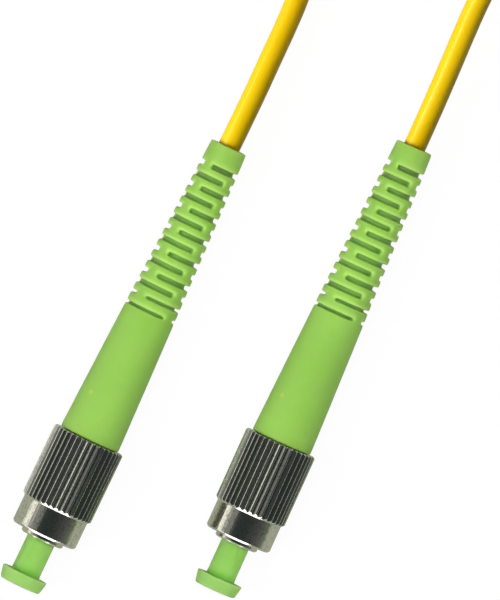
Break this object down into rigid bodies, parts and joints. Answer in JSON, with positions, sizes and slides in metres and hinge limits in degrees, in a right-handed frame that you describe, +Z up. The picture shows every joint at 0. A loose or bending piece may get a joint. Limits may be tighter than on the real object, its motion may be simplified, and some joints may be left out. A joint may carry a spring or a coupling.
{
  "type": "fiber optic patch cord",
  "caption": "Simplex yellow fibre patch cord with knurled screw nuts, green boots and dust caps, its free cable wound into a tied coil.",
  "frame": {"origin": "middle of the two connectors' box, on the ground plane that the coupling nuts rest on; the free cable, its coil and ties are left out of that box", "axes": "+Y runs along the first connector from its dust cap to the cable, +Z is up, and the second connector lies on the +X side"},
  "size_m": [0.0467, 0.1409, 0.0144],
  "materials": {
    "cap_green": "moulded, slightly translucent lime-green polyethylene",
    "boot_green": "moulded lime-green elastomer, satin",
    "jacket_yellow": "smooth golden-yellow cable jacket",
    "nut_nickel": "nickel-plated brass, bright machined ridges",
    "frame_nickel": "nickel-plated brass",
    "crimp_nickel": "plated crimp sleeve",
    "spring_steel": "drawn stainless wire",
    "zirconia": "ground white zirconia",
    "glass_core": "bare glass fibre",
    "buffer_white": "tight buffer",
    "aramid": "aramid strength yarn",
    "tie_white": "thin plastic strap"
  },
  "bodies": {
    "root": {"frame_a": "frame_nickel", "rear_body_a": "frame_nickel", "crimp_sleeve_a": "crimp_nickel", "aramid_yarn_a": "aramid", "buffered_fibre_a": "buffer_white", "cable_jacket_a": "jacket_yellow", "boot_a": "boot_green", "spring_a": "spring_steel", "frame_b": "frame_nickel", "rear_body_b": "frame_nickel", "crimp_sleeve_b": "crimp_nickel", "aramid_yarn_b": "aramid", "buffered_fibre_b": "buffer_white", "cable_jacket_b": "jacket_yellow", "boot_b": "boot_green", "spring_b": "spring_steel", "cable_a": "jacket_yellow", "cable_coil": "jacket_yellow", "cable_b": "jacket_yellow", "coil_tie_1": "tie_white", "coil_tie_2": "tie_white"},
    "cap_a": {"dust_cap_a": "cap_green"},
    "ferrule_unit_a": {"ferrule_a": "zirconia", "bare_fibre_a": "glass_core", "ferrule_flange_a": "frame_nickel"},
    "nut_carrier_a": {"retaining_ring_a": "spring_steel"},
    "nut_a": {"coupling_nut_a": "nut_nickel"},
    "cap_b": {"dust_cap_b": "cap_green"},
    "ferrule_unit_b": {"ferrule_b": "zirconia", "bare_fibre_b": "glass_core", "ferrule_flange_b": "frame_nickel"},
    "nut_carrier_b": {"retaining_ring_b": "spring_steel"},
    "nut_b": {"coupling_nut_b": "nut_nickel"}
  },
  "joints": [
    {"name": "cap_a_pull", "type": "slide", "parent": "root", "child": "cap_a", "axis": [0, -1, 0], "range_m": [0, 0.015]},
    {"name": "ferrule_a_float", "type": "slide", "parent": "root", "child": "ferrule_unit_a", "axis": [0, 1, 0], "range_m": [0, 0.0012], "stiffness_N_per_m": 1000, "deforming": ["spring_a"]},
    {"name": "nut_a_slide", "type": "slide", "parent": "root", "child": "nut_carrier_a", "axis": [0, -1, 0], "range_m": [0, 0.0032]},
    {"name": "nut_a_spin", "type": "hinge", "parent": "nut_carrier_a", "child": "nut_a", "pos_m": [-0.01175, -0.02328, 0.005], "axis": [0, -1, 0], "continuous": true},
    {"name": "cap_b_pull", "type": "slide", "parent": "root", "child": "cap_b", "axis": [0.0222, -0.9998, 0], "range_m": [0, 0.015]},
    {"name": "ferrule_b_float", "type": "slide", "parent": "root", "child": "ferrule_unit_b", "axis": [-0.0222, 0.9998, 0], "range_m": [0, 0.0012], "stiffness_N_per_m": 1000, "deforming": ["spring_b"]},
    {"name": "nut_b_slide", "type": "slide", "parent": "root", "child": "nut_carrier_b", "axis": [0.0222, -0.9998, 0], "range_m": [0, 0.0032]},
    {"name": "nut_b_spin", "type": "hinge", "parent": "nut_carrier_b", "child": "nut_b", "pos_m": [0.01168, -0.01261, 0.005], "axis": [0.0222, -0.9998, 0], "continuous": true}
  ]
}
